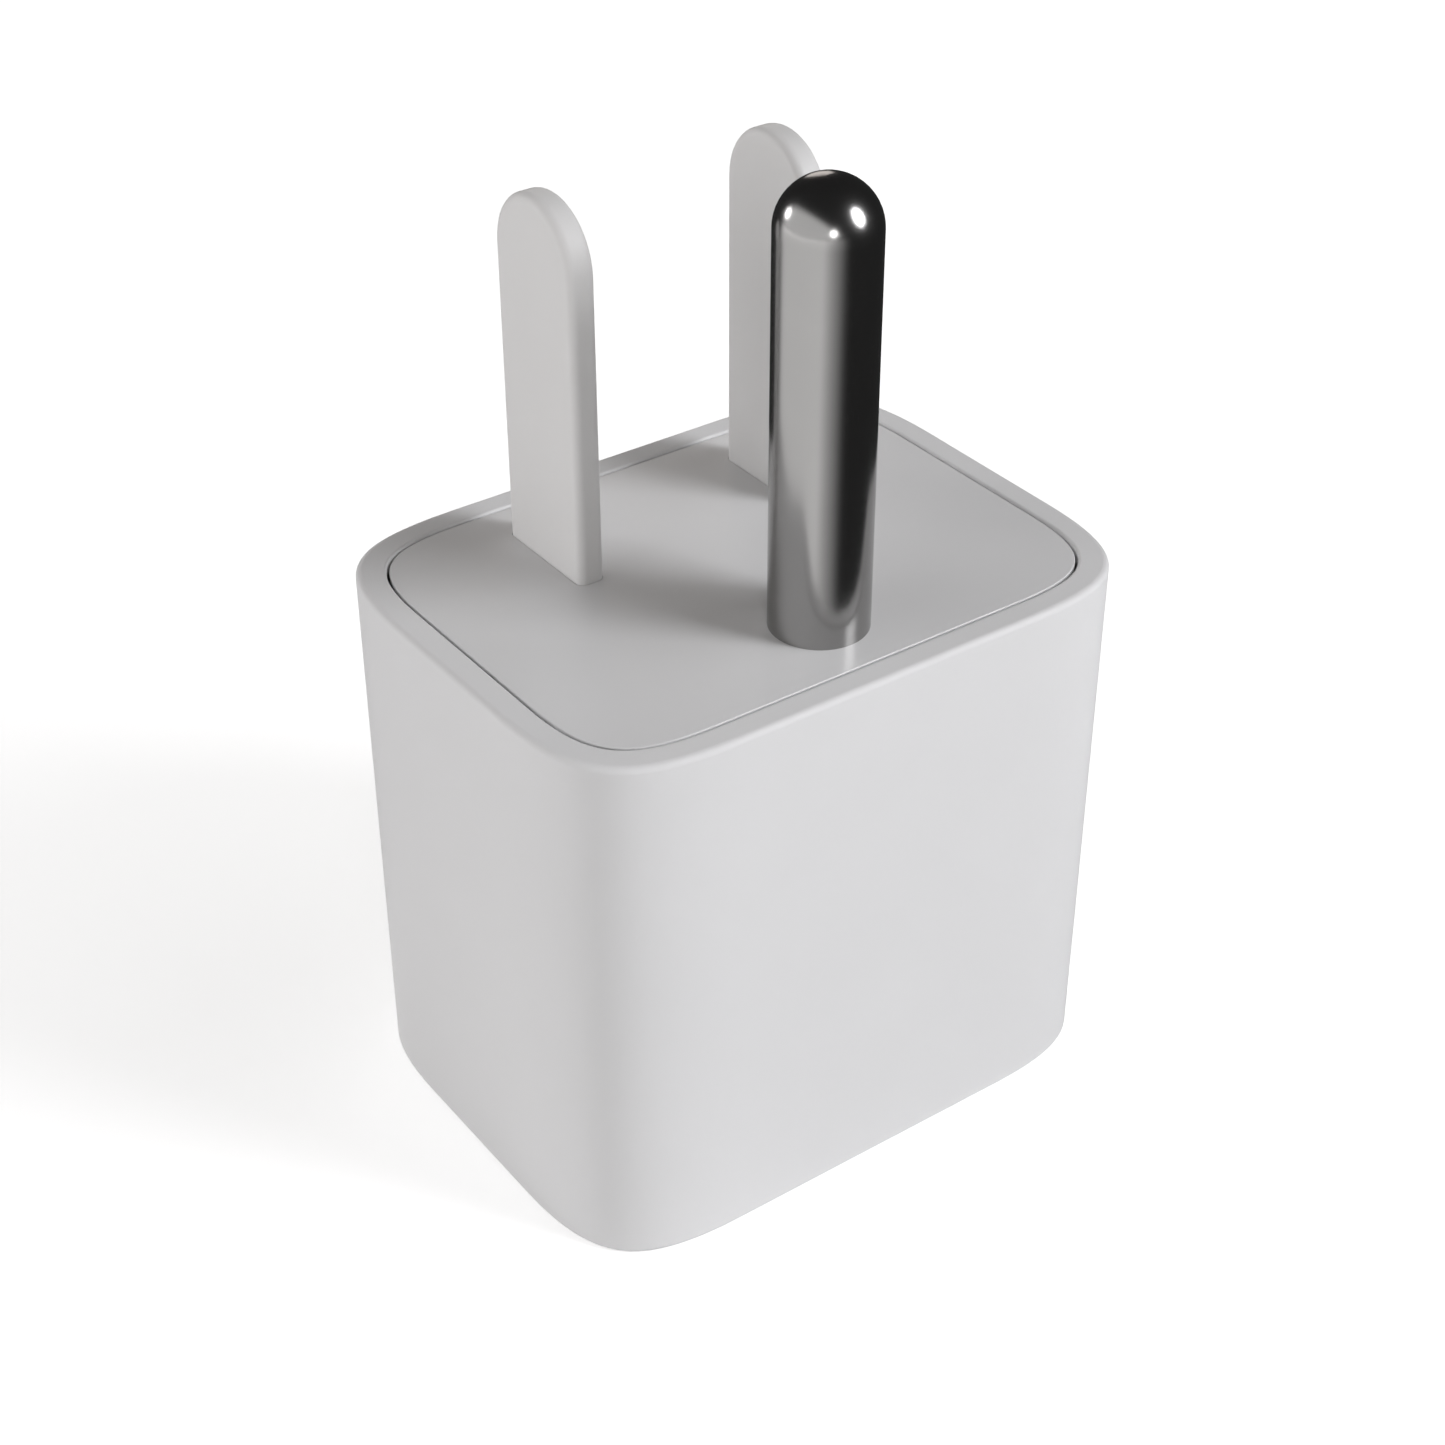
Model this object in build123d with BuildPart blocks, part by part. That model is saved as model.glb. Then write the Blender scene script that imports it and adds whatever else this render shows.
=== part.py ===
from build123d import *
import os

# Grounding plug adapter: a moulded body with a pin plate, two insulating blades and a metal earth pin.
# The frame has its origin at the centre of the rear face, which the body stands on. The pins point
# along +Z, the two blades are spaced along X, and the earth pin lies towards -Y. All sizes are in
# millimetres.

# Body, as an oblong block whose upright corners ease in gradually
body_length = 31.4
body_width = 24.0
body_height = 28.35
corner_reach = 7.6
corner_fullness = 0.784
corner_taper = 1.27
side_wall = 2.1
rear_wall = 2.4
rear_edge_radius = 0.3
rim_width = 1.4
rim_outer_radius = 0.3
rim_inner_radius = 0.15

# Plate that closes the body and carries the pins
plate_recess = 0.05
plate_thickness = 1.8
plate_edge_radius = 0.06
seam_gap = 0.13

# Pins, spaced for an earthed two-blade outlet
blade_pitch = 12.7
earth_offset = 11.89
pins_shift = -0.58
blade_width = 6.15
blade_thickness = 1.4
blade_length = 18.1
blade_edge_radius = 0.4
earth_pin_radius = 2.35
earth_pin_length = 21.4
slot_clearance = 0.03

# Roots of the pins behind the plate, and the clamp that holds them
root_thickness = 1.2
root_overhang = 1.0
clamp_thickness = 1.8
clamp_corner_radius = 2.5
clamp_wall_gap = 0.25
clamp_hook_gap = 0.3
clamp_boss_radius = 2.0
screw_radius = 1.0
screw_head_radius = 1.8
screw_head_height = 1.2
screw_recess_width = 0.45
screw_recess_depth = 0.6
screw_bite = 0.9
screw_hook_gap = 0.5
screw_row = -1.5
screw_boss_radius = 1.9
pilot_spare = 0.1
screw_hole_clearance = 0.1

# Threaded tail of the earth pin, with its tag, spring washer and nut
tail_radius = 1.0
tail_spare = 0.6
tail_ring_radius = 2.0
tail_nut_flats = 4.0
tail_nut_height = 1.6
spring_washer_thickness = 0.5
spring_washer_slit = 0.4

# Soldering tags and the clearances at every thread
tag_thickness = 0.5
tag_neck_width = 2.0
tag_eye_radius = 1.5
thread_clearance = 0.03
stud_hole_clearance = 0.1

# Snap hooks under the plate and their pockets in the short walls
hook_thickness = 1.2
hook_width = 3.0
hook_spacing = 6.8
hook_length = 6.0
hook_clearance = 0.1
barb_depth = 0.55
barb_height = 1.6
barb_lift = 0.4
pocket_clearance = 0.15

# Socket for the lead, in the middle of the rear wall
socket_bore_radius = 2.0
socket_bore_depth = 14.5
socket_recess = 0.2
socket_lead_in = 0.3
barrel_wall = 0.8
barrel_end_wall = 1.2
barrel_flange_radius = 3.6
barrel_flange_thickness = 0.8
barrel_fit = 0.02
bush_radius = 4.0
bush_length = 7.4
collar_radius = 5.0
collar_thickness = 1.0
panel_hole_clearance = 0.1
socket_washer_radius = 5.0
socket_washer_thickness = 0.5
socket_nut_flats = 10.0
socket_nut_height = 2.5
stud_radius = 1.5
stud_spare = 0.8
stud_ring_radius = 2.8
stud_nut_flats = 5.5
stud_nut_height = 2.4

# Board with the resistor, upright in two guides on the rear wall
board_length = 18.0
board_height = 12.6
board_thickness = 1.6
board_wall_gap = 1.6
guide_wall = 1.1
guide_height = 11.5
groove_depth = 0.9
groove_clearance = 0.05
track_thickness = 0.1
track_width = 2.4
track_margin = 1.2
pad_height = 7.6
resistor_radius = 1.2
resistor_waist = 1.0
resistor_length = 6.3
resistor_cap_length = 1.5
resistor_edge_radius = 0.25
resistor_board_gap = 0.1
lead_radius = 0.3
lead_reach = 1.2
lead_bend = 0.7
hole_clearance = 0.1
joint_radius = 0.9
joint_height = 0.7
joint_top_margin = 0.15
tail_beyond_joint = 0.1

# Wires between the tags and the board
wire_radius = 0.75
core_radius = 0.35
wire_pad_spacing = 12.8
wire_bend = 3.0
stripped_length = 0.5
core_end_inset = 0.1

# Levels along Z, from the rear face up
plate_top = body_height - plate_recess
plate_seat = plate_top - plate_thickness
clamp_top = plate_seat - root_thickness
clamp_bottom = clamp_top - clamp_thickness
pin_tag_bottom = clamp_bottom - tag_thickness
pin_washer_bottom = pin_tag_bottom - spring_washer_thickness
pin_nut_bottom = pin_washer_bottom - tail_nut_height
tail_end = pin_nut_bottom - tail_spare
barrel_top = socket_recess + socket_bore_depth + barrel_end_wall
socket_tag_top = barrel_top + tag_thickness
socket_stud_end = socket_tag_top + stud_nut_height + stud_spare
socket_nut_bottom = rear_wall + socket_washer_thickness
pad_level = rear_wall + pad_height

# Places in plan
cavity_half_length = body_length / 2 - side_wall
cavity_half_width = body_width / 2 - side_wall
blade_row = earth_offset / 2 + pins_shift
earth_row = -earth_offset / 2 + pins_shift
blade_columns = {"left_blade": -blade_pitch / 2, "right_blade": blade_pitch / 2}
hook_outer = cavity_half_length - hook_clearance
hook_inner = hook_outer - hook_thickness
hook_rows = (-hook_spacing / 2, hook_spacing / 2)
screw_column = hook_inner - screw_hook_gap - screw_boss_radius
barrel_radius = socket_bore_radius + barrel_wall
board_back = cavity_half_width - board_wall_gap
board_front = board_back - board_thickness
track_back = board_back + track_thickness
joint_end = track_back + joint_height
lead_column = resistor_length / 2 + lead_reach
wire_column = wire_pad_spacing / 2
resistor_axis = board_front - resistor_board_gap - resistor_radius

os.makedirs("parts", exist_ok=True)


def outline(inset):
    """Closed outline of the body, drawn in from its side faces by the inset."""
    half_length = body_length / 2 - inset
    half_width = body_width / 2 - inset
    reach = corner_reach - corner_taper * inset
    handle = reach * (1 - corner_fullness)
    with BuildLine() as loop:
        for right, back in ((1, 1), (-1, 1), (-1, -1), (1, -1)):
            Bezier(
                (right * (half_length - reach), back * half_width),
                (right * (half_length - handle), back * half_width),
                (right * half_length, back * (half_width - handle)),
                (right * half_length, back * (half_width - reach)),
            )
        for side in (-1, 1):
            Line(
                (reach - half_length, side * half_width),
                (half_length - reach, side * half_width),
            )
            Line(
                (side * half_length, reach - half_width),
                (side * half_length, half_width - reach),
            )
    return loop.edges()


# Housing: outer block, seat for the plate, cavity, hook pockets, socket hole and board guides
with BuildPart() as housing:
    with BuildSketch():
        make_face(outline(0))
    extrude(amount=body_height)
    fillet(housing.edges().group_by(Axis.Z)[0], rear_edge_radius)
    fillet(housing.edges().group_by(Axis.Z)[-1], rim_outer_radius)
    with BuildSketch(Plane.XY.offset(plate_seat)):
        make_face(outline(rim_width))
    extrude(amount=body_height - plate_seat, mode=Mode.SUBTRACT)
    rim_top = housing.faces().filter_by(Axis.Z).sort_by(Axis.Z)[-1]
    fillet(rim_top.inner_wires()[0].edges(), rim_inner_radius)
    with BuildSketch(Plane.XY.offset(rear_wall)):
        make_face(outline(side_wall))
    extrude(amount=plate_seat - rear_wall, mode=Mode.SUBTRACT)
    for side in (-1, 1):
        guide_inner = board_length / 2 - groove_depth
        guide_outer = board_length / 2 + guide_wall
        guide_middle = side * (guide_inner + guide_outer) / 2
        with Locations((guide_middle, (board_front + board_back) / 2, rear_wall)):
            Box(
                guide_outer - guide_inner,
                board_thickness + 2 * guide_wall,
                guide_height,
                align=(Align.CENTER, Align.CENTER, Align.MIN),
            )
        with Locations((side * hook_outer, 0, plate_seat - hook_length + barb_lift)):
            with GridLocations(0, hook_spacing, 1, 2):
                Box(
                    2 * (barb_depth + pocket_clearance),
                    hook_width + 2 * pocket_clearance,
                    barb_height + 2 * pocket_clearance,
                    align=(Align.CENTER, Align.CENTER, Align.MIN),
                    mode=Mode.SUBTRACT,
                )
    with Locations((0, (board_front + board_back) / 2, rear_wall)):
        Box(
            board_length + 2 * groove_clearance,
            board_thickness + 2 * groove_clearance,
            guide_height,
            align=(Align.CENTER, Align.CENTER, Align.MIN),
            mode=Mode.SUBTRACT,
        )
    with Locations(Plane.XY.rotated((180, 0, 0))):
        CounterBoreHole(
            bush_radius + panel_hole_clearance,
            collar_radius + panel_hole_clearance,
            collar_thickness,
            rear_wall,
        )
housing.part.label = "housing"
export_step(housing.part, "parts/housing.step")

# Pin plate: flush plate with the pin openings, screw bosses and snap hooks
with BuildPart() as pin_plate:
    with BuildSketch(Plane.XY.offset(plate_seat)):
        make_face(outline(rim_width + seam_gap))
    extrude(amount=plate_thickness)
    fillet(pin_plate.edges().group_by(Axis.Z)[-1], plate_edge_radius)
    with BuildSketch(Plane.XY.offset(plate_seat)):
        with Locations((0, blade_row)):
            with GridLocations(blade_pitch, 0, 2, 1):
                RectangleRounded(
                    blade_thickness + 2 * slot_clearance,
                    blade_width + 2 * slot_clearance,
                    blade_edge_radius + slot_clearance,
                )
        with Locations((0, earth_row)):
            Circle(tail_radius + stud_hole_clearance)
    extrude(amount=plate_thickness, mode=Mode.SUBTRACT)
    with BuildSketch(Plane.XY.offset(clamp_top)):
        with Locations((-screw_column, screw_row), (screw_column, screw_row)):
            Circle(screw_boss_radius)
    extrude(amount=root_thickness)
    with BuildSketch(Plane.XY.offset(clamp_top)):
        with Locations((-screw_column, screw_row), (screw_column, screw_row)):
            Circle(screw_radius)
    extrude(amount=root_thickness + screw_bite + pilot_spare, mode=Mode.SUBTRACT)
    for side in (-1, 1):
        with BuildSketch(*(Plane.XZ.offset(-row) for row in hook_rows)):
            with BuildLine():
                Polyline(
                    (side * hook_inner, plate_seat),
                    (side * hook_outer, plate_seat),
                    (side * hook_outer, plate_seat - hook_length + barb_lift + barb_height),
                    (
                        side * (hook_outer + barb_depth),
                        plate_seat - hook_length + barb_lift + barb_height,
                    ),
                    (side * hook_outer, plate_seat - hook_length + barb_lift),
                    (side * hook_outer, plate_seat - hook_length),
                    (side * hook_inner, plate_seat - hook_length),
                    close=True,
                )
            make_face()
        extrude(amount=hook_width / 2, both=True)
pin_plate.part.label = "pin_plate"
export_step(pin_plate.part, "parts/pin_plate.step")

# Blades: flat bars with a half-round tip, softened edges and a wider root behind the plate
for blade_name, blade_column in blade_columns.items():
    with BuildPart() as blade:
        with BuildSketch(Plane.YZ.offset(blade_column)):
            with Locations((blade_row, plate_top + blade_length - blade_width / 2)):
                Circle(blade_width / 2)
            with Locations((blade_row, plate_seat)):
                Rectangle(
                    blade_width,
                    plate_thickness + blade_length - blade_width / 2,
                    align=(Align.CENTER, Align.MIN),
                )
        extrude(amount=blade_thickness / 2, both=True)
        blade_sides = blade.faces().filter_by(Axis.X)
        root_end = blade.edges().group_by(Axis.Z)[0]
        fillet([edge for edge in blade_sides.edges() if edge not in root_end], blade_edge_radius)
        with BuildSketch(Plane.XY.offset(clamp_top)):
            with Locations((blade_column, blade_row)):
                Rectangle(blade_thickness + 2 * root_overhang, blade_width)
        extrude(amount=root_thickness)
    blade.part.label = blade_name
    export_step(blade.part, f"parts/{blade_name}.step")

# Earth pin: turned pin with a domed end, whose shoulder stands on the plate above a threaded tail
with BuildPart() as earth_pin:
    with BuildSketch(Plane.XZ.offset(-earth_row)):
        with BuildLine():
            dome_level = plate_top + earth_pin_length - earth_pin_radius
            Line((0, dome_level + earth_pin_radius), (0, tail_end))
            Line((0, tail_end), (tail_radius, tail_end))
            Line((tail_radius, tail_end), (tail_radius, plate_top))
            Line((tail_radius, plate_top), (earth_pin_radius, plate_top))
            Line((earth_pin_radius, plate_top), (earth_pin_radius, dome_level))
            CenterArc((0, dome_level), earth_pin_radius, 0, 90)
        make_face()
    revolve(axis=Axis((0, earth_row, 0), (0, 0, 1)))
earth_pin.part.label = "earth_pin"
export_step(earth_pin.part, "parts/earth_pin.step")

# Pin clamp: bar that presses the blade roots up against the plate
with BuildPart() as pin_clamp:
    clamp_length = 2 * (hook_inner - clamp_hook_gap)
    clamp_width = 2 * (cavity_half_width - clamp_wall_gap)
    with BuildSketch(Plane.XY.offset(clamp_bottom)):
        RectangleRounded(clamp_length, clamp_width, clamp_corner_radius)
    extrude(amount=clamp_thickness)
    with BuildSketch(Plane.XY.offset(clamp_top)):
        with Locations((0, earth_row)):
            Circle(clamp_boss_radius)
    extrude(amount=root_thickness)
    with BuildSketch(Plane.XY.offset(clamp_bottom)):
        with Locations((0, earth_row)):
            Circle(tail_radius + stud_hole_clearance)
        with Locations((-screw_column, screw_row), (screw_column, screw_row)):
            Circle(screw_radius + screw_hole_clearance)
    extrude(amount=clamp_thickness + root_thickness, mode=Mode.SUBTRACT)
pin_clamp.part.label = "pin_clamp"
export_step(pin_clamp.part, "parts/pin_clamp.step")

# Clamp screws: two pan-head screws with cross recesses
with BuildPart() as clamp_screws:
    for side in (-1, 1):
        head_bottom = clamp_bottom - screw_head_height
        with BuildSketch(Plane.XY.offset(clamp_bottom)):
            with Locations((side * screw_column, screw_row)):
                Circle(screw_head_radius)
        extrude(amount=-screw_head_height)
        with BuildSketch(Plane.XY.offset(clamp_bottom)):
            with Locations((side * screw_column, screw_row)):
                Circle(screw_radius)
        extrude(amount=clamp_thickness + root_thickness + screw_bite)
    fillet(clamp_screws.edges().group_by(Axis.Z)[0], screw_head_height / 3)
    with BuildSketch(Plane.XY.offset(head_bottom)):
        with Locations((-screw_column, screw_row), (screw_column, screw_row)):
            Rectangle(2 * screw_radius, screw_recess_width)
            Rectangle(screw_recess_width, 2 * screw_radius)
    extrude(amount=screw_recess_depth, mode=Mode.SUBTRACT)
clamp_screws.part.label = "clamp_screws"
export_step(clamp_screws.part, "parts/clamp_screws.step")

# Soldering tags: a ring on the stud, a neck and an eye for the wire
tags = {
    "pin_tag": (earth_row, wire_column, pin_tag_bottom, tail_ring_radius, tail_radius),
    "socket_tag": (0, -wire_column, barrel_top, stud_ring_radius, stud_radius),
}
for tag_name, (ring_row, eye_column, tag_bottom, ring_radius, thread_radius) in tags.items():
    with BuildPart() as tag:
        with BuildSketch(Plane.XY.offset(tag_bottom)):
            with Locations((0, ring_row)):
                Circle(ring_radius)
            with Locations((eye_column, ring_row)):
                Circle(tag_eye_radius)
            with Locations((eye_column / 2, ring_row)):
                Rectangle(wire_column, tag_neck_width)
            with Locations((0, ring_row)):
                Circle(thread_radius + stud_hole_clearance, mode=Mode.SUBTRACT)
            with Locations((eye_column, ring_row)):
                Circle(core_radius + hole_clearance, mode=Mode.SUBTRACT)
        extrude(amount=tag_thickness)
    tag.part.label = tag_name
    export_step(tag.part, f"parts/{tag_name}.step")

# Spring washer: a split ring, pressed flat under the nut
with BuildPart() as pin_spring_washer:
    with BuildSketch(Plane.XY.offset(pin_washer_bottom)):
        with Locations((0, earth_row)):
            Circle(tail_ring_radius)
            Circle(tail_radius + stud_hole_clearance, mode=Mode.SUBTRACT)
        with Locations((-tail_ring_radius / 2, earth_row)):
            Rectangle(tail_ring_radius, spring_washer_slit, mode=Mode.SUBTRACT)
    extrude(amount=spring_washer_thickness)
pin_spring_washer.part.label = "pin_spring_washer"
export_step(pin_spring_washer.part, "parts/pin_spring_washer.step")

# Nuts: small ones on the two studs and the large one on the socket bush
nuts = {
    "pin_nut": (earth_row, pin_nut_bottom, tail_nut_flats, tail_nut_height, tail_radius),
    "socket_tag_nut": (0, socket_tag_top, stud_nut_flats, stud_nut_height, stud_radius),
    "socket_nut": (0, socket_nut_bottom, socket_nut_flats, socket_nut_height, bush_radius),
}
for nut_name, (nut_row, nut_bottom, flats, nut_height, thread_radius) in nuts.items():
    with BuildPart() as nut:
        with BuildSketch(Plane.XY.offset(nut_bottom)):
            with Locations((0, nut_row)):
                RegularPolygon(flats / 2, 6, major_radius=False)
                Circle(thread_radius + thread_clearance, mode=Mode.SUBTRACT)
        extrude(amount=nut_height)
    nut.part.label = nut_name
    export_step(nut.part, f"parts/{nut_name}.step")

# Socket bush: insulating collar, flush with the rear face, on a threaded sleeve
with BuildPart() as socket_bush:
    with BuildSketch():
        Circle(collar_radius)
    extrude(amount=collar_thickness)
    with BuildSketch():
        Circle(bush_radius)
    extrude(amount=bush_length)
    with BuildSketch():
        Circle(barrel_radius + barrel_fit)
    extrude(amount=bush_length, mode=Mode.SUBTRACT)
socket_bush.part.label = "socket_bush"
export_step(socket_bush.part, "parts/socket_bush.step")

# Socket barrel: turned tube with a blind bore, a flange behind the bush and a threaded stud
with BuildPart() as socket_barrel:
    with BuildSketch(Plane.XY.offset(socket_recess)):
        Circle(barrel_radius)
    extrude(amount=barrel_top - socket_recess)
    with BuildSketch(Plane.XY.offset(bush_length)):
        Circle(barrel_flange_radius)
    extrude(amount=barrel_flange_thickness)
    with BuildSketch(Plane.XY.offset(barrel_top)):
        Circle(stud_radius)
    extrude(amount=socket_stud_end - barrel_top)
    with BuildSketch(Plane.XY.offset(socket_recess)):
        Circle(socket_bore_radius)
    extrude(amount=socket_bore_depth, mode=Mode.SUBTRACT)
    mouth_edges = socket_barrel.edges().group_by(Axis.Z)[0]
    chamfer(mouth_edges.sort_by(SortBy.RADIUS)[0], socket_lead_in)
socket_barrel.part.label = "socket_barrel"
export_step(socket_barrel.part, "parts/socket_barrel.step")

# Socket washer: plain washer between the rear wall and the large nut
with BuildPart() as socket_washer:
    with BuildSketch(Plane.XY.offset(rear_wall)):
        Circle(socket_washer_radius)
        Circle(bush_radius + panel_hole_clearance, mode=Mode.SUBTRACT)
    extrude(amount=socket_washer_thickness)
socket_washer.part.label = "socket_washer"
export_step(socket_washer.part, "parts/socket_washer.step")

# Resistor board: stands on the rear wall with its ends in the two guides
board_holes = {
    -wire_column: core_radius,
    -lead_column: lead_radius,
    lead_column: lead_radius,
    wire_column: core_radius,
}
with BuildPart() as resistor_board:
    with Locations((0, board_front, rear_wall)):
        Box(
            board_length,
            board_thickness,
            board_height,
            align=(Align.CENTER, Align.MIN, Align.MIN),
        )
    for column, conductor_radius in board_holes.items():
        with BuildSketch(Plane.XZ.offset(-board_front)):
            with Locations((column, pad_level)):
                Circle(conductor_radius + hole_clearance)
        extrude(amount=-board_thickness, mode=Mode.SUBTRACT)
resistor_board.part.label = "resistor_board"
export_step(resistor_board.part, "parts/resistor_board.step")

# Board tracks: one copper strip on each side, from a resistor lead to a wire
with BuildPart() as board_tracks:
    with BuildSketch(Plane.XZ.offset(-board_back)):
        for side in (-1, 1):
            with Locations((side * (lead_column + wire_column) / 2, pad_level)):
                Rectangle(wire_column - lead_column + 2 * track_margin, track_width)
        for column, conductor_radius in board_holes.items():
            with Locations((column, pad_level)):
                Circle(conductor_radius + hole_clearance, mode=Mode.SUBTRACT)
    extrude(amount=-track_thickness)
board_tracks.part.label = "board_tracks"
export_step(board_tracks.part, "parts/board_tracks.step")

# Resistor body: waisted cylinder with a fuller cap at each end
with BuildPart() as resistor_body:
    with BuildSketch(Plane.YZ):
        with Locations((resistor_axis, pad_level)):
            Circle(resistor_waist)
    extrude(amount=resistor_length / 2, both=True)
    for side in (-1, 1):
        with BuildSketch(Plane.YZ.offset(side * resistor_length / 2)):
            with Locations((resistor_axis, pad_level)):
                Circle(resistor_radius)
        extrude(amount=-side * resistor_cap_length)
    cap_rims = resistor_body.edges().filter_by(GeomType.CIRCLE).group_by(SortBy.RADIUS)[-1]
    fillet(cap_rims.group_by(Axis.X)[0] + cap_rims.group_by(Axis.X)[-1], resistor_edge_radius)
resistor_body.part.label = "resistor_body"
export_step(resistor_body.part, "parts/resistor_body.step")

# Resistor leads: each leaves a cap along X and turns back through the board
with BuildPart() as resistor_leads:
    for side in (-1, 1):
        with BuildLine() as lead_path:
            FilletPolyline(
                (side * resistor_length / 2, resistor_axis, pad_level),
                (side * lead_column, resistor_axis, pad_level),
                (side * lead_column, joint_end + tail_beyond_joint, pad_level),
                radius=lead_bend,
            )
        with BuildSketch(Plane.YZ.offset(side * resistor_length / 2)):
            with Locations((resistor_axis, pad_level)):
                Circle(lead_radius)
        sweep(path=lead_path.line)
resistor_leads.part.label = "resistor_leads"
export_step(resistor_leads.part, "parts/resistor_leads.step")

# Wires: a conductor in a sheath, from a tag's eye down and back through the board
wires = {
    "pin_wire": (wire_column, earth_row, pin_tag_bottom),
    "socket_wire": (-wire_column, 0, barrel_top),
}
for wire_name, (column, start_row, eye_bottom) in wires.items():
    core_top = eye_bottom + tag_thickness - core_end_inset
    sheath_top = eye_bottom - joint_height - stripped_length
    with BuildPart() as wire_core:
        with BuildLine() as core_path:
            FilletPolyline(
                (column, start_row, core_top),
                (column, start_row, pad_level),
                (column, joint_end + tail_beyond_joint, pad_level),
                radius=wire_bend,
            )
        with BuildSketch(Plane.XY.offset(core_top)):
            with Locations((column, start_row)):
                Circle(core_radius)
        sweep(path=core_path.line)
    wire_core.part.label = f"{wire_name}_core"
    export_step(wire_core.part, f"parts/{wire_name}_core.step")
    with BuildPart() as sheath:
        with BuildLine() as sheath_path:
            FilletPolyline(
                (column, start_row, sheath_top),
                (column, start_row, pad_level),
                (column, board_front - stripped_length, pad_level),
                radius=wire_bend,
            )
        with BuildSketch(Plane.XY.offset(sheath_top)):
            with Locations((column, start_row)):
                Circle(wire_radius)
                Circle(core_radius, mode=Mode.SUBTRACT)
        sweep(path=sheath_path.line)
    sheath.part.label = wire_name
    export_step(sheath.part, f"parts/{wire_name}.step")

# Solder joints on the board: small cones round the resistor leads and the wire ends
with BuildPart() as board_joints:
    for column, conductor_radius in board_holes.items():
        with BuildSketch(Plane.XZ.offset(-track_back)):
            with Locations((column, pad_level)):
                Circle(joint_radius)
        with BuildSketch(Plane.XZ.offset(-joint_end)):
            with Locations((column, pad_level)):
                Circle(conductor_radius + joint_top_margin)
        loft()
    for column, conductor_radius in board_holes.items():
        with BuildSketch(Plane.XZ.offset(-track_back)):
            with Locations((column, pad_level)):
                Circle(conductor_radius)
        extrude(amount=-joint_height, mode=Mode.SUBTRACT)
board_joints.part.label = "board_joints"
export_step(board_joints.part, "parts/board_joints.step")

# Solder joints on the tags: one cone under each eye
with BuildPart() as tag_joints:
    for column, start_row, eye_bottom in wires.values():
        with BuildSketch(Plane.XY.offset(eye_bottom)):
            with Locations((column, start_row)):
                Circle(joint_radius)
        with BuildSketch(Plane.XY.offset(eye_bottom - joint_height)):
            with Locations((column, start_row)):
                Circle(core_radius + joint_top_margin)
        loft()
        with BuildSketch(Plane.XY.offset(eye_bottom)):
            with Locations((column, start_row)):
                Circle(core_radius)
        extrude(amount=-joint_height, mode=Mode.SUBTRACT)
tag_joints.part.label = "tag_joints"
export_step(tag_joints.part, "parts/tag_joints.step")
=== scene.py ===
"""Finish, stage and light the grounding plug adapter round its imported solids."""
import math

import bmesh
import bpy
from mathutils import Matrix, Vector

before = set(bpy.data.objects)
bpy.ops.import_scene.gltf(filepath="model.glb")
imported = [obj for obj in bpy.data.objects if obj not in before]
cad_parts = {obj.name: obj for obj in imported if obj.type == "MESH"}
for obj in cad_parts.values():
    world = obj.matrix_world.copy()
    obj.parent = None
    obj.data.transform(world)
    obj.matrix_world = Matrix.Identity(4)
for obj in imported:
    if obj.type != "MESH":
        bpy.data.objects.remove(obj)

bl_info = {
    "name": "Grounding Plug Adapter",
    "version": (1, 0, 0),
    "blender": (4, 5, 0),
    "location": "View3D > Sidebar > Plug Adapter",
    "description": "Finishes, stages and lights a grounding plug adapter",
    "category": "Object",
}

MILLIMETRE = 0.001
WHITE = (1.0, 1.0, 1.0)
UNLIT = (0.0, 0.0, 0.0)

# Mix node: its factor, its two colour sockets and its colour result
MIX_SHARE = 0
MIX_FIRST = 6
MIX_SECOND = 7
MIX_RESULT = 2

# Noise runs from 0 to 1, so this is the value that it swings about
NOISE_MIDDLE = 0.5

# Resistor: paint of each colour ring and its place along the body in metres
BROWN = (0.12, 0.05, 0.02)
BLACK = (0.01, 0.01, 0.01)
GREEN = (0.10, 0.30, 0.06)
RESISTOR_RINGS = (
    (BROWN, -0.0022),
    (BLACK, -0.0011),
    (BLACK, -0.0002),
    (GREEN, 0.0007),
    (BROWN, 0.0022),
)
RING_SOFTNESS = 0.15

# Floor: how far it lies under the adapter, its half width, and where its glow starts and ends its rise
FLOOR_DROP = 0.00002
FLOOR_HALF_WIDTH = 3.0
FLOOR_NEAR = 0.12
FLOOR_FAR = 0.6

# Camera: width of its sensor in millimetres, and the nearest and farthest it sees in metres
SENSOR_WIDTH = 36.0
SIGHT_START = 0.005
SIGHT_END = 20.0

# Lamps: distance from the point they aim at, and the height of that point above the floor
LAMP_DISTANCE = 0.6
LAMP_AIM_HEIGHT = 0.02
COOL_LIGHT = (0.975, 0.98, 1.0)
EVEN_LIGHT = (1.0, 0.99, 0.995)
PEACH_LIGHT = (1.0, 0.93, 0.88)
WARM_LIGHT = (1.0, 0.88, 0.75)

# Each lamp: name, azimuth and elevation in degrees, width and height in metres, power in watts,
# colour, and whether metal and gloss show it
LAMPS = (
    ("key_lamp", 36, 29, 0.23, 0.33, 2.22, COOL_LIGHT, True),
    ("high_lamp", 45, 52, 0.40, 0.40, 0.72, COOL_LIGHT, False),
    ("left_panel", -98, 8, 0.90, 0.60, 2.37, EVEN_LIGHT, False),
    ("front_lamp", -27, 14, 0.13, 0.13, 0.37, EVEN_LIGHT, True),
    ("back_left_lamp", -142, 17, 0.15, 0.15, 0.42, EVEN_LIGHT, True),
    ("window_lamp", 148, 17, 0.18, 0.28, 0.15, PEACH_LIGHT, True),
    ("rear_lamp", 172, 4, 0.50, 0.30, 1.2, EVEN_LIGHT, False),
)

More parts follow.
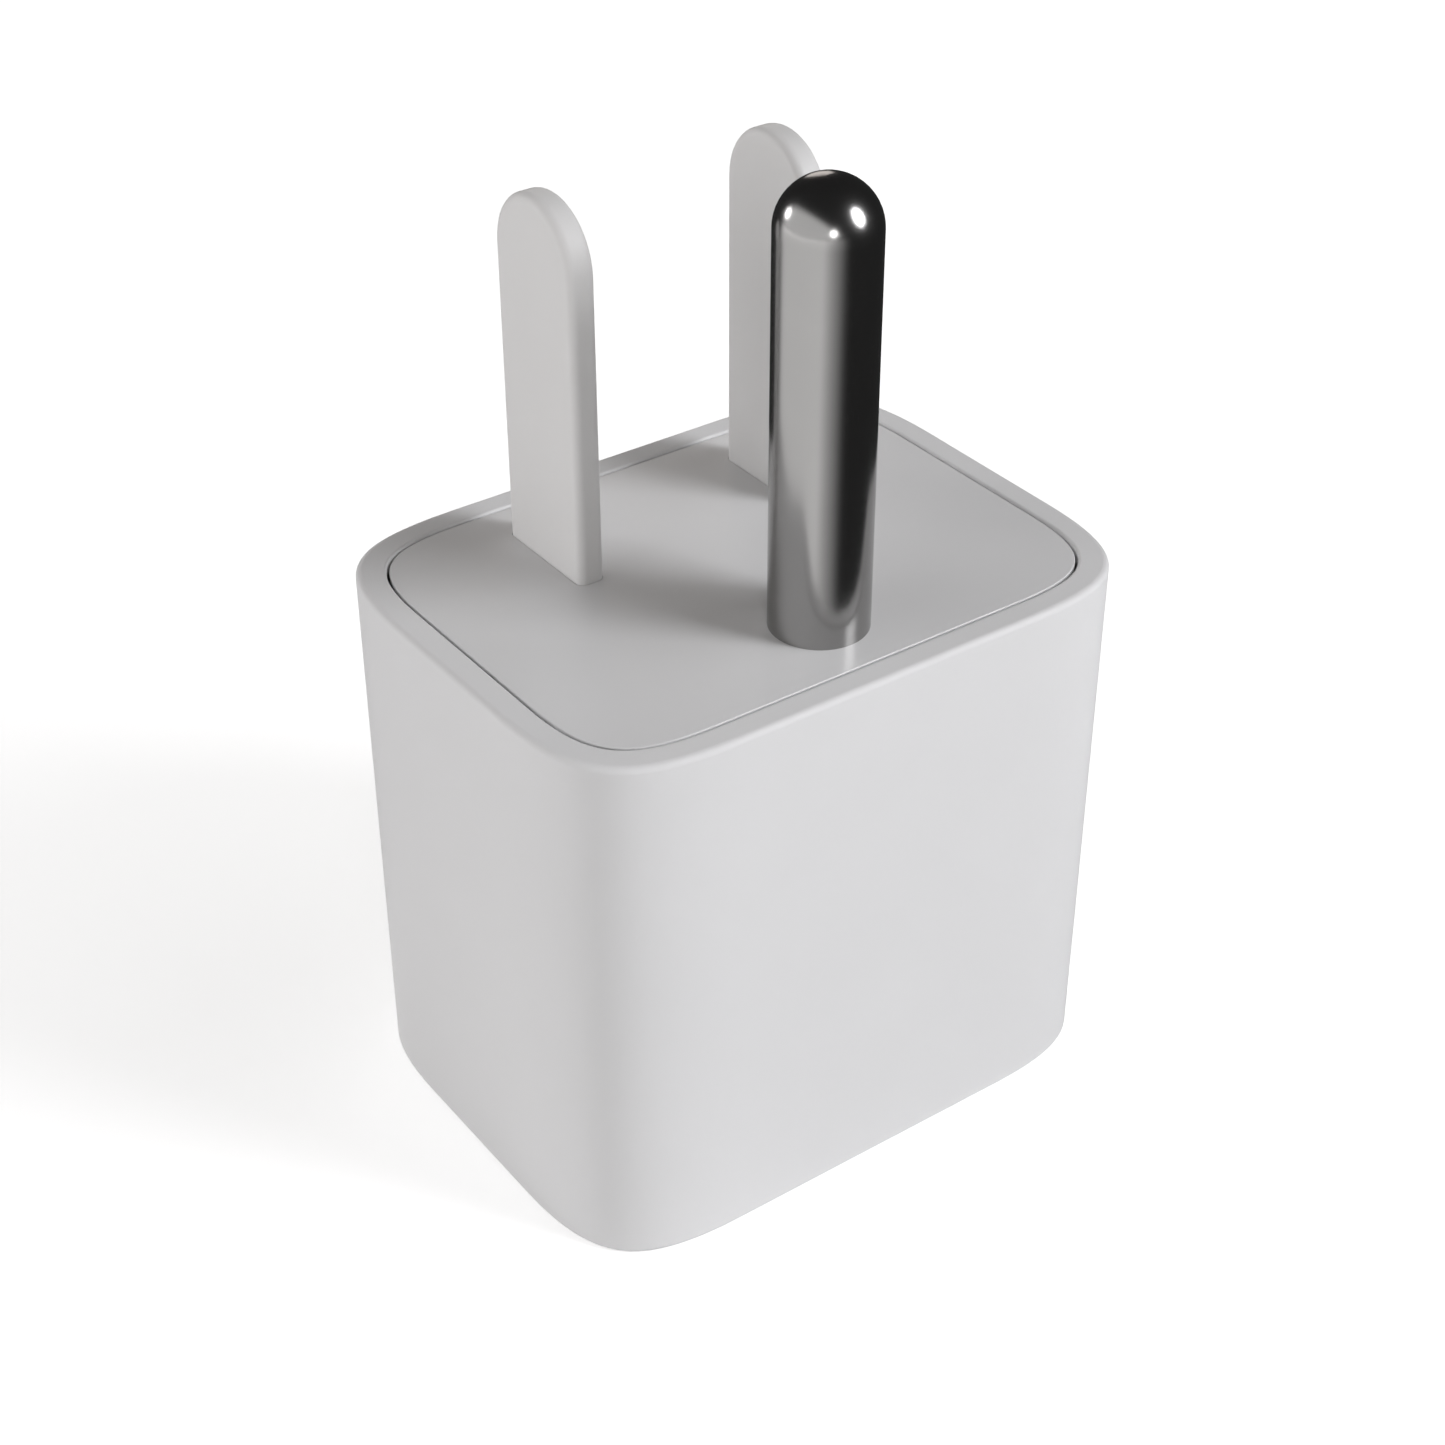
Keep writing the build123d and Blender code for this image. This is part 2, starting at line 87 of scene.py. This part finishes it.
# Dark surround: a closed dome just over the floor, which only reflections show
CARD_RADIUS = 1.5
CARD_SEGMENTS = 48
CARD_RINGS = 24
CARD_FLOOR_GAP = 0.0004
CARD_COLOUR = (0.03, 0.03, 0.03)

# Clear window in the surround: its brightest azimuth in degrees, its strength and how fast it fades
BRIGHT_AZIMUTH = -88.0
BRIGHT_SPREAD = 1.8
BRIGHT_FALL = 4.0

# Upright edge of the window: its azimuth in degrees, and where it goes from dark to bright
EDGE_AZIMUTH = -62.0
EDGE_DARK = 0.0
EDGE_BRIGHT = 0.25

# Slanted top of the window: azimuth of its highest point, its slope, and the width of its edge
PANEL_AZIMUTH = -92.0
PANEL_RISE = 0.9
PANEL_EDGE_LOW = -0.2
PANEL_EDGE_HIGH = 0.2


class Number:
    """A socket in a finish, on which plain arithmetic adds Math nodes."""

    def __init__(self, finish, socket):
        self.finish = finish
        self.socket = socket

    def worked(self, operation, first, second=0.0):
        """The Math node's result for two values or sockets."""
        node = self.finish.node("ShaderNodeMath", {"operation": operation}, {0: first, 1: second})
        return Number(self.finish, node.outputs[0])

    def __add__(self, other):
        return self.worked("ADD", self, other)

    __radd__ = __add__

    def __sub__(self, other):
        return self.worked("SUBTRACT", self, other)

    def __rsub__(self, other):
        return self.worked("SUBTRACT", other, self)

    def __mul__(self, other):
        return self.worked("MULTIPLY", self, other)

    __rmul__ = __mul__

    def __truediv__(self, other):
        return self.worked("DIVIDE", self, other)

    def power(self, exponent):
        """This value raised to an exponent."""
        return self.worked("POWER", self, exponent)

    def distance(self):
        """How far this value lies from zero."""
        return self.worked("ABSOLUTE", self)

    def swing(self, spread):
        """This noise moved to swing about zero, over a spread from its lowest to its highest."""
        return (self - NOISE_MIDDLE) * spread

    def clamped(self):
        """This value held between 0 and 1."""
        node = self.finish.node("ShaderNodeClamp", {}, {0: self})
        return Number(self.finish, node.outputs[0])

    def stepped(self, low, high):
        """A smooth step that is 0 below low and 1 above high."""
        settings = {"interpolation_type": "SMOOTHSTEP"}
        node = self.finish.node("ShaderNodeMapRange", settings, {0: self, 1: low, 2: high})
        return Number(self.finish, node.outputs[0])


class Finish:
    """The node tree of one surface, stage material or sky."""

    def __init__(self, tree):
        self.tree = tree
        self.tree.nodes.clear()

    def node(self, kind, settings=None, inputs=None):
        """A node of a kind, with its settings made first and its sockets filled or linked after."""
        made = self.tree.nodes.new(kind)
        for name, value in (settings or {}).items():
            setattr(made, name, value)
        for name, value in (inputs or {}).items():
            source = getattr(value, "socket", value)
            if isinstance(source, bpy.types.NodeSocket):
                self.tree.links.new(source, made.inputs[name])
            else:
                made.inputs[name].default_value = source
        return made

    def place(self, stretch=(1.0, 1.0, 1.0)):
        """The point on the object, stretched along each axis."""
        point = self.node("ShaderNodeTexCoord").outputs["Object"]
        scaled = self.node(
            "ShaderNodeVectorMath",
            {"operation": "MULTIPLY"},
            {0: point, 1: stretch},
        )
        return scaled.outputs[0]

    def axes(self):
        """The point on the object as three numbers: across, along and up."""
        parts = self.node("ShaderNodeSeparateXYZ", {}, {0: self.place()})
        return [Number(self, output) for output in parts.outputs]

    def noise(self, size, detail=3.0, stretch=(1.0, 1.0, 1.0)):
        """Noise from 0 to 1 whose features are about the given size in metres."""
        node = self.node(
            "ShaderNodeTexNoise",
            {"noise_dimensions": "3D"},
            {"Vector": self.place(stretch), "Scale": 1.0 / size, "Detail": detail},
        )
        return Number(self, node.outputs["Fac"])

    def blend(self, share, first, second):
        """A colour between two colours."""
        settings = {"data_type": "RGBA", "blend_type": "MIX"}
        inputs = {MIX_SHARE: share, MIX_FIRST: first, MIX_SECOND: second}
        return self.node("ShaderNodeMix", settings, inputs).outputs[MIX_RESULT]

    def dent(self, height, depth):
        """A normal that follows a height from 0 to 1, with its depth in metres."""
        node = self.node("ShaderNodeBump", {}, {"Distance": depth, "Height": height})
        return node.outputs["Normal"]

    def watched(self):
        """1 where the camera, a reflection or a clear piece looks, and 0 where only light falls."""
        rays = self.node("ShaderNodeLightPath")
        seen = Number(self, rays.outputs["Is Camera Ray"])
        glossy = Number(self, rays.outputs["Is Glossy Ray"])
        through = Number(self, rays.outputs["Is Transmission Ray"])
        return (seen + glossy + through).clamped()

    def surface(self, shader):
        """Join a shader to the material's output."""
        self.node("ShaderNodeOutputMaterial", {}, {"Surface": shader})

    def coat(self, paint, roughness, normal, metallic=0.0):
        """Cover the piece: its colour, how matt it is, its fine relief and whether it is metal."""
        shader = self.node(
            "ShaderNodeBsdfPrincipled",
            {},
            {"Base Color": paint, "Metallic": metallic, "Roughness": roughness, "Normal": normal},
        )
        self.surface(shader.outputs[0])


def opaque(colour):
    """A colour with its alpha."""
    return (*colour, 1.0)


def shade(colour, level):
    """A colour made lighter or darker by a level."""
    return opaque([min(1.0, level * part) for part in colour])


def new_finish(name):
    """An empty node material and its tree."""
    material = bpy.data.materials.new(name)
    material.use_nodes = True
    return material, Finish(material.node_tree)


def moulded_plastic(name, colour, roughness, mottle, grain, depth):
    """Moulded plastic: a slow mottle in the colour, a fine grain in the gloss and the surface."""
    material, finish = new_finish(name)
    slow = finish.noise(mottle, 2.0)
    fine = finish.noise(grain, 4.0)
    paint = finish.blend(slow, shade(colour, 0.985), shade(colour, 1.01))
    finish.coat(paint, roughness + slow.swing(0.05) + fine.swing(0.04), finish.dent(fine, depth))
    return material


def turned_metal(name, colour, roughness, line, depth):
    """Turned and polished metal: faint rings round the axis in the gloss and the surface."""
    material, finish = new_finish(name)
    rings = finish.noise(line, 2.0, (0.02, 0.02, 1.0))
    cloud = finish.noise(2.5 * MILLIMETRE, 3.0)
    tint = finish.blend(cloud, shade(colour, 0.96), shade(colour, 1.03))
    gloss = roughness + rings.swing(0.03) + cloud.swing(0.03)
    finish.coat(tint, gloss, finish.dent(rings, depth), metallic=1.0)
    return material


def cast_metal(name, colour, roughness, grain, depth):
    """Stamped, plated or soldered metal: a clouded colour and a fine pitted grain."""
    material, finish = new_finish(name)
    cloud = finish.noise(0.8 * MILLIMETRE, 3.0)
    pits = finish.noise(grain, 3.0)
    tint = finish.blend(cloud, shade(colour, 0.86), shade(colour, 1.05))
    gloss = roughness + cloud.swing(0.12) + pits.swing(0.06)
    finish.coat(tint, gloss, finish.dent(pits, depth), metallic=1.0)
    return material


def banded_lacquer(name, colour, rings, half_width):
    """Resistor lacquer: a colour with painted rings across the length, slightly waxy."""
    material, finish = new_finish(name)
    across, _, _ = finish.axes()
    cloud = finish.noise(0.6 * MILLIMETRE, 3.0)
    paint = finish.blend(cloud, shade(colour, 0.94), shade(colour, 1.05))
    height = 0.3 * cloud
    inner = (1.0 - RING_SOFTNESS) * half_width
    outer = (1.0 + RING_SOFTNESS) * half_width
    for ring_paint, centre in rings:
        ring = 1.0 - (across - centre).distance().stepped(inner, outer)
        paint = finish.blend(ring, paint, opaque(ring_paint))
        height = height + 0.5 * ring
    finish.coat(paint, 0.28 + cloud.swing(0.08), finish.dent(height, 0.02 * MILLIMETRE))
    return material


def woven_laminate(name, colour):
    """Lacquered board: the weave of the glass cloth shows faintly through the lacquer."""
    material, finish = new_finish(name)
    weave = finish.noise(0.25 * MILLIMETRE, 1.0, (1.0, 1.0, 0.2))
    cross = finish.noise(0.25 * MILLIMETRE, 1.0, (0.2, 1.0, 1.0))
    cloth = (weave + cross) * 0.5
    paint = finish.blend(cloth, shade(colour, 0.8), shade(colour, 1.2))
    finish.coat(paint, 0.32 + cloth.swing(0.1), finish.dent(cloth, 0.004 * MILLIMETRE))
    return material


def dress(node, material):
    """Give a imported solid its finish."""
    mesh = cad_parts[node].data
    mesh.materials.clear()
    mesh.materials.append(material)


class PlugFinishes(bpy.types.PropertyGroup):
    """Colours and gloss of the adapter's pieces."""

    body_colour: bpy.props.FloatVectorProperty(
        name="Body colour",
        description="Colour of the moulded body",
        default=(0.78, 0.78, 0.785),
        subtype="COLOR",
        min=0.0,
        max=1.0,
    )
    body_roughness: bpy.props.FloatProperty(
        name="Body roughness",
        description="How matt the moulded body is",
        default=0.58,
        min=0.0,
        max=1.0,
        subtype="FACTOR",
    )
    plate_colour: bpy.props.FloatVectorProperty(
        name="Plate colour",
        description="Colour of the plate that carries the pins",
        default=(0.76, 0.76, 0.765),
        subtype="COLOR",
        min=0.0,
        max=1.0,
    )
    plate_roughness: bpy.props.FloatProperty(
        name="Plate roughness",
        description="How matt the plate is",
        default=0.24,
        min=0.0,
        max=1.0,
        subtype="FACTOR",
    )
    blade_colour: bpy.props.FloatVectorProperty(
        name="Blade colour",
        description="Colour of the plastic blades",
        default=(0.78, 0.775, 0.77),
        subtype="COLOR",
        min=0.0,
        max=1.0,
    )
    blade_roughness: bpy.props.FloatProperty(
        name="Blade roughness",
        description="How matt the plastic blades are",
        default=0.5,
        min=0.0,
        max=1.0,
        subtype="FACTOR",
    )
    pin_colour: bpy.props.FloatVectorProperty(
        name="Earth pin colour",
        description="Colour of the polished earth pin",
        default=(0.36, 0.355, 0.35),
        subtype="COLOR",
        min=0.0,
        max=1.0,
    )
    pin_roughness: bpy.props.FloatProperty(
        name="Earth pin roughness",
        description="How soft the reflections in the earth pin are",
        default=0.2,
        min=0.0,
        max=1.0,
        subtype="FACTOR",
    )


class PlugStage(bpy.types.PropertyGroup):
    """Camera, lamps and floor round the adapter."""

    camera_azimuth: bpy.props.FloatProperty(
        name="Camera azimuth",
        description="Angle of the camera round the adapter",
        default=math.radians(-35.85),
        subtype="ANGLE",
    )
    camera_elevation: bpy.props.FloatProperty(
        name="Camera elevation",
        description="Angle of the camera above the horizon",
        default=math.radians(34.49),
        subtype="ANGLE",
    )
    camera_distance: bpy.props.FloatProperty(
        name="Camera distance",
        description="Distance from the camera to its target",
        default=0.12657,
        unit="LENGTH",
    )
    camera_target: bpy.props.FloatVectorProperty(
        name="Camera target",
        description="Point that the camera looks at",
        default=(0.0, 0.00088, 0.01869),
        subtype="XYZ",
        unit="LENGTH",
    )
    camera_lens: bpy.props.FloatProperty(
        name="Camera lens",
        description="Focal length of the camera in millimetres",
        default=64.2,
    )
    lamp_level: bpy.props.FloatProperty(
        name="Lamp level",
        description="Brightness of all the lamps together",
        default=1.0,
        min=0.0,
    )
    sky_level: bpy.props.FloatProperty(
        name="Sky level",
        description="Brightness of the even light from all round",
        default=0.05,
        min=0.0,
    )
    floor_glow: bpy.props.FloatProperty(
        name="Floor glow",
        description="How far the floor is lifted towards white for the camera and reflections",
        default=0.6,
        min=0.0,
        max=1.0,
        subtype="FACTOR",
    )
    floor_colour: bpy.props.FloatVectorProperty(
        name="Floor colour",
        description="Colour of the floor",
        default=(0.8, 0.8, 0.8),
        subtype="COLOR",
        min=0.0,
        max=1.0,
    )


def finishes():
    """The colours and gloss set in the scene."""
    return bpy.context.scene.plug_finishes


def stage_settings():
    """The camera, lamp and floor values set in the scene."""
    return bpy.context.scene.plug_stage


class PLUG_OT_finish_housing(bpy.types.Operator):
    """Give the housing its white satin plastic"""

    bl_idname = "plug.finish_housing"
    bl_label = "Finish Housing"

    def execute(self, context):
        values = finishes()
        satin = moulded_plastic(
            "housing_satin_plastic",
            colour=values.body_colour,
            roughness=values.body_roughness,
            mottle=6 * MILLIMETRE,
            grain=0.12 * MILLIMETRE,
            depth=0.0015 * MILLIMETRE,
        )
        dress("housing", satin)
        return {"FINISHED"}


class PLUG_OT_finish_plate(bpy.types.Operator):
    """Give the pin plate its smoother white plastic"""

    bl_idname = "plug.finish_plate"
    bl_label = "Finish Pin Plate"

    def execute(self, context):
        values = finishes()
        smooth = moulded_plastic(
            "plate_smooth_plastic",
            colour=values.plate_colour,
            roughness=values.plate_roughness,
            mottle=5 * MILLIMETRE,
            grain=0.12 * MILLIMETRE,
            depth=0.001 * MILLIMETRE,
        )
        dress("pin_plate", smooth)
        return {"FINISHED"}


class PLUG_OT_finish_blades(bpy.types.Operator):
    """Give both blades their matt white plastic"""

    bl_idname = "plug.finish_blades"
    bl_label = "Finish Blades"

    def execute(self, context):
        values = finishes()
        matt = moulded_plastic(
            "blade_matt_plastic",
            colour=values.blade_colour,
            roughness=values.blade_roughness,
            mottle=4 * MILLIMETRE,
            grain=0.1 * MILLIMETRE,
            depth=0.002 * MILLIMETRE,
        )
        for node in ("left_blade", "right_blade"):
            dress(node, matt)
        return {"FINISHED"}


class PLUG_OT_finish_earth_pin(bpy.types.Operator):
    """Polish the earth pin"""

    bl_idname = "plug.finish_earth_pin"
    bl_label = "Finish Earth Pin"

    def execute(self, context):
        values = finishes()
        polished = turned_metal(
            "earth_pin_polish",
            colour=values.pin_colour,
            roughness=values.pin_roughness,
            line=0.15 * MILLIMETRE,
            depth=0.0004 * MILLIMETRE,
        )
        dress("earth_pin", polished)
        return {"FINISHED"}


class PLUG_OT_finish_clamp(bpy.types.Operator):
    """Give the pin clamp, the socket bush and the bush nut their moulded plastic"""

    bl_idname = "plug.finish_clamp"
    bl_label = "Finish Clamp and Bush"

    def execute(self, context):
        natural = moulded_plastic(
            "clamp_natural_plastic",
            colour=(0.68, 0.67, 0.63),
            roughness=0.5,
            mottle=3 * MILLIMETRE,
            grain=0.15 * MILLIMETRE,
            depth=0.004 * MILLIMETRE,
        )
        bush = moulded_plastic(
            "bush_white_plastic",
            colour=(0.74, 0.74, 0.74),
            roughness=0.4,
            mottle=3 * MILLIMETRE,
            grain=0.12 * MILLIMETRE,
            depth=0.002 * MILLIMETRE,
        )
        for node in ("pin_clamp", "socket_nut"):
            dress(node, natural)
        dress("socket_bush", bush)
        return {"FINISHED"}


class PLUG_OT_finish_fasteners(bpy.types.Operator):
    """Zinc-plate the screws, nuts and washers"""

    bl_idname = "plug.finish_fasteners"
    bl_label = "Finish Fasteners"

    def execute(self, context):
        zinc = cast_metal(
            "fastener_zinc",
            colour=(0.62, 0.64, 0.67),
            roughness=0.32,
            grain=0.08 * MILLIMETRE,
            depth=0.002 * MILLIMETRE,
        )
        for node in ("clamp_screws", "pin_spring_washer", "pin_nut", "socket_washer", "socket_tag_nut"):
            dress(node, zinc)
        return {"FINISHED"}


class PLUG_OT_finish_contacts(bpy.types.Operator):
    """Plate the socket barrel and tin the soldering tags"""

    bl_idname = "plug.finish_contacts"
    bl_label = "Finish Socket and Tags"

    def execute(self, context):
        nickel = turned_metal(
            "barrel_nickel",
            colour=(0.62, 0.60, 0.55),
            roughness=0.22,
            line=0.1 * MILLIMETRE,
            depth=0.0008 * MILLIMETRE,
        )
        tinned = cast_metal(
            "tag_tinned_brass",
            colour=(0.66, 0.63, 0.54),
            roughness=0.3,
            grain=0.1 * MILLIMETRE,
            depth=0.0015 * MILLIMETRE,
        )
        dress("socket_barrel", nickel)
        for node in ("pin_tag", "socket_tag"):
            dress(node, tinned)
        return {"FINISHED"}


class PLUG_OT_finish_board(bpy.types.Operator):
    """Lacquer the board and finish its tracks, resistor and solder"""

    bl_idname = "plug.finish_board"
    bl_label = "Finish Board"

    def execute(self, context):
        copper = cast_metal(
            "track_copper",
            colour=(0.72, 0.36, 0.22),
            roughness=0.3,
            grain=0.08 * MILLIMETRE,
            depth=0.001 * MILLIMETRE,
        )
        solder = cast_metal(
            "joint_solder",
            colour=(0.64, 0.65, 0.67),
            roughness=0.26,
            grain=0.2 * MILLIMETRE,
            depth=0.003 * MILLIMETRE,
        )
        lacquer = banded_lacquer(
            "resistor_lacquer",
            colour=(0.28, 0.46, 0.56),
            rings=RESISTOR_RINGS,
            half_width=0.22 * MILLIMETRE,
        )
        laminate = woven_laminate("board_green_laminate", colour=(0.03, 0.14, 0.05))
        dress("resistor_board", laminate)
        dress("board_tracks", copper)
        for node in ("board_joints", "tag_joints", "resistor_leads"):
            dress(node, solder)
        dress("resistor_body", lacquer)
        return {"FINISHED"}


class PLUG_OT_finish_wires(bpy.types.Operator):
    """Give the wires their green sheath and bare copper conductors"""

    bl_idname = "plug.finish_wires"
    bl_label = "Finish Wires"

    def execute(self, context):
        sheath = moulded_plastic(
            "wire_green_sheath",
            colour=(0.04, 0.22, 0.06),
            roughness=0.36,
            mottle=2 * MILLIMETRE,
            grain=0.1 * MILLIMETRE,
            depth=0.002 * MILLIMETRE,
        )
        strands = cast_metal(
            "wire_bare_copper",
            colour=(0.76, 0.42, 0.26),
            roughness=0.3,
            grain=0.06 * MILLIMETRE,
            depth=0.006 * MILLIMETRE,
        )
        for wire in ("pin_wire", "socket_wire"):
            dress(wire, sheath)
            dress(f"{wire}_core", strands)
        return {"FINISHED"}


class PLUG_OT_build_stage(bpy.types.Operator):
    """Lay the floor, light the sky, set the camera and hang the lamps and the dark surround"""

    bl_idname = "plug.build_stage"
    bl_label = "Build Stage"

    def execute(self, context):
        lay_floor()
        light_sky()
        set_camera()
        hang_lamps()
        hang_dark_cards()
        return {"FINISHED"}


def outward(azimuth, elevation):
    """The direction from the adapter at an azimuth and an elevation, where azimuth 0 is -Y."""
    flat = math.cos(elevation)
    return Vector((math.sin(azimuth) * flat, -math.cos(azimuth) * flat, math.sin(elevation)))


def hang(name, held, target, away, distance):
    """Hang a camera or a lamp at a distance from its target, facing it."""
    hung = bpy.data.objects.new(name, held)
    bpy.context.collection.objects.link(hung)
    hung.location = Vector(target) + away * distance
    hung.rotation_mode = "QUATERNION"
    hung.rotation_quaternion = (-away).to_track_quat("-Z", "Y")
    return hung


def mesh_object(name, shape, material):
    """A new object at the origin that holds a finished bmesh."""
    mesh = bpy.data.meshes.new(name)
    shape.to_mesh(mesh)
    shape.free()
    mesh.materials.append(material)
    made = bpy.data.objects.new(name, mesh)
    bpy.context.collection.objects.link(made)
    return made


def lay_floor():
    """A wide pale floor that keeps the adapter's shadow and is white to the camera elsewhere."""
    material, finish = new_finish("pale_floor")
    values = stage_settings()
    matt = finish.node("ShaderNodeBsdfDiffuse", {}, {"Color": opaque(values.floor_colour)})
    length = finish.node("ShaderNodeVectorMath", {"operation": "LENGTH"}, {0: finish.place()})
    reach = Number(finish, length.outputs["Value"])
    lift = values.floor_glow + (1.0 - values.floor_glow) * reach.stepped(FLOOR_NEAR, FLOOR_FAR)
    light = finish.blend(finish.watched() * lift, opaque(UNLIT), opaque(WHITE))
    glow = finish.node("ShaderNodeEmission", {}, {"Color": light, "Strength": 1.0})
    both = finish.node("ShaderNodeAddShader", {}, {0: matt.outputs[0], 1: glow.outputs[0]})
    finish.surface(both.outputs[0])
    shape = bmesh.new()
    bmesh.ops.create_grid(shape, x_segments=1, y_segments=1, size=FLOOR_HALF_WIDTH)
    bmesh.ops.translate(shape, verts=shape.verts[:], vec=(0.0, 0.0, -FLOOR_DROP))
    floor = mesh_object("floor", shape, material)


def light_sky():
    """Even light from all round, which the camera and reflections see as white."""
    values = stage_settings()
    world = bpy.data.worlds.new("studio_sky")
    world.use_nodes = True
    bpy.context.scene.world = world
    finish = Finish(world.node_tree)
    white = finish.watched()
    strength = values.sky_level + (1.0 - values.sky_level) * white
    colour = finish.blend(white, opaque(WARM_LIGHT), opaque(WHITE))
    sky = finish.node("ShaderNodeBackground", {}, {"Color": colour, "Strength": strength})
    finish.node("ShaderNodeOutputWorld", {}, {"Surface": sky.outputs[0]})


def set_camera():
    """The photograph's camera, with colours shown as they are written."""
    values = stage_settings()
    lens = bpy.data.cameras.new("camera")
    lens.lens = values.camera_lens
    lens.sensor_fit = "HORIZONTAL"
    lens.sensor_width = SENSOR_WIDTH
    lens.clip_start = SIGHT_START
    lens.clip_end = SIGHT_END
    away = outward(values.camera_azimuth, values.camera_elevation)
    camera = hang("camera", lens, values.camera_target, away, values.camera_distance)
    bpy.context.scene.camera = camera
    bpy.context.scene.view_settings.view_transform = "Standard"


def hang_lamps():
    """The key at the front right, the panel at the left and the smaller lamps round them."""
    level = stage_settings().lamp_level
    target = (0.0, 0.0, LAMP_AIM_HEIGHT)
    for name, azimuth, elevation, width, height, power, colour, reflected in LAMPS:
        lamp = bpy.data.lights.new(name, "AREA")
        lamp.shape = "ELLIPSE"
        lamp.size = width
        lamp.size_y = height
        lamp.energy = power * level
        lamp.color = colour
        away = outward(math.radians(azimuth), math.radians(elevation))
        hung = hang(name, lamp, target, away, LAMP_DISTANCE)
        hung.visible_glossy = reflected


def window_cover(finish):
    """1 where the surround is dark, and 0 in its clear window at the left."""
    across, along, up = finish.axes()
    reach = (across * across + along * along).power(0.5)

    def facing(azimuth):
        """How far a point of the surround lies towards an azimuth, from -1 to 1."""
        ahead = outward(math.radians(azimuth), 0.0)
        return (across * ahead.x + along * ahead.y) / reach

    fade = (BRIGHT_SPREAD * ((facing(BRIGHT_AZIMUTH) + 1.0) * 0.5).power(BRIGHT_FALL)).clamped()
    side = 1.0 - fade * facing(EDGE_AZIMUTH).stepped(EDGE_DARK, EDGE_BRIGHT)
    rise = up / reach
    above = (rise - PANEL_RISE * facing(PANEL_AZIMUTH)).stepped(PANEL_EDGE_LOW, PANEL_EDGE_HIGH)
    return 1.0 - (1.0 - side) * (1.0 - above)


def hang_dark_cards():
    """A dark surround at the right, behind and above, which shows only in reflections."""
    material, finish = new_finish("dark_card")
    cover = window_cover(finish)
    clear = finish.node("ShaderNodeBsdfTransparent")
    card = finish.node("ShaderNodeEmission", {}, {"Color": opaque(CARD_COLOUR), "Strength": 1.0})
    mixed = finish.node("ShaderNodeMixShader", {}, {0: cover, 1: clear.outputs[0], 2: card.outputs[0]})
    finish.surface(mixed.outputs[0])
    shape = bmesh.new()
    bmesh.ops.create_uvsphere(
        shape,
        u_segments=CARD_SEGMENTS,
        v_segments=CARD_RINGS,
        radius=CARD_RADIUS,
    )
    bmesh.ops.bisect_plane(
        shape,
        geom=shape.verts[:] + shape.edges[:] + shape.faces[:],
        plane_co=(0.0, 0.0, CARD_FLOOR_GAP),
        plane_no=(0.0, 0.0, 1.0),
        clear_inner=True,
    )
    bmesh.ops.holes_fill(shape, edges=[edge for edge in shape.edges if edge.is_boundary])
    cards = mesh_object("dark_cards", shape, material)
    cards.visible_camera = False
    cards.visible_diffuse = False
    cards.visible_shadow = False
    cards.visible_transmission = False


class PLUG_PT_adapter(bpy.types.Panel):
    """Lists the adapter's finishes, its stage and the steps that make them"""

    bl_label = "Plug Adapter"
    bl_space_type = "VIEW_3D"
    bl_region_type = "UI"
    bl_category = "Plug Adapter"

    def draw(self, context):
        for group in (context.scene.plug_finishes, context.scene.plug_stage):
            box = self.layout.box()
            for name in group.bl_rna.properties.keys():
                if name not in ("rna_type", "name"):
                    box.prop(group, name)
        for step in STEPS:
            self.layout.operator(step.bl_idname)


STEPS = (
    PLUG_OT_finish_housing,
    PLUG_OT_finish_plate,
    PLUG_OT_finish_blades,
    PLUG_OT_finish_earth_pin,
    PLUG_OT_finish_clamp,
    PLUG_OT_finish_fasteners,
    PLUG_OT_finish_contacts,
    PLUG_OT_finish_board,
    PLUG_OT_finish_wires,
    PLUG_OT_build_stage,
)
CLASSES = (PlugFinishes, PlugStage, *STEPS, PLUG_PT_adapter)


def register():
    """Add the classes and the scene's groups of values."""
    for made in CLASSES:
        bpy.utils.register_class(made)
    bpy.types.Scene.plug_finishes = bpy.props.PointerProperty(type=PlugFinishes)
    bpy.types.Scene.plug_stage = bpy.props.PointerProperty(type=PlugStage)


def unregister():
    """Take the classes and the scene's groups of values away again."""
    del bpy.types.Scene.plug_stage
    del bpy.types.Scene.plug_finishes
    for made in reversed(CLASSES):
        bpy.utils.unregister_class(made)


def main():
    """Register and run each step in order."""
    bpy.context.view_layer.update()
    register()
    for step in STEPS:
        group, name = step.bl_idname.split(".")
        getattr(getattr(bpy.ops, group), name)()


if __name__ == "__main__":
    main()
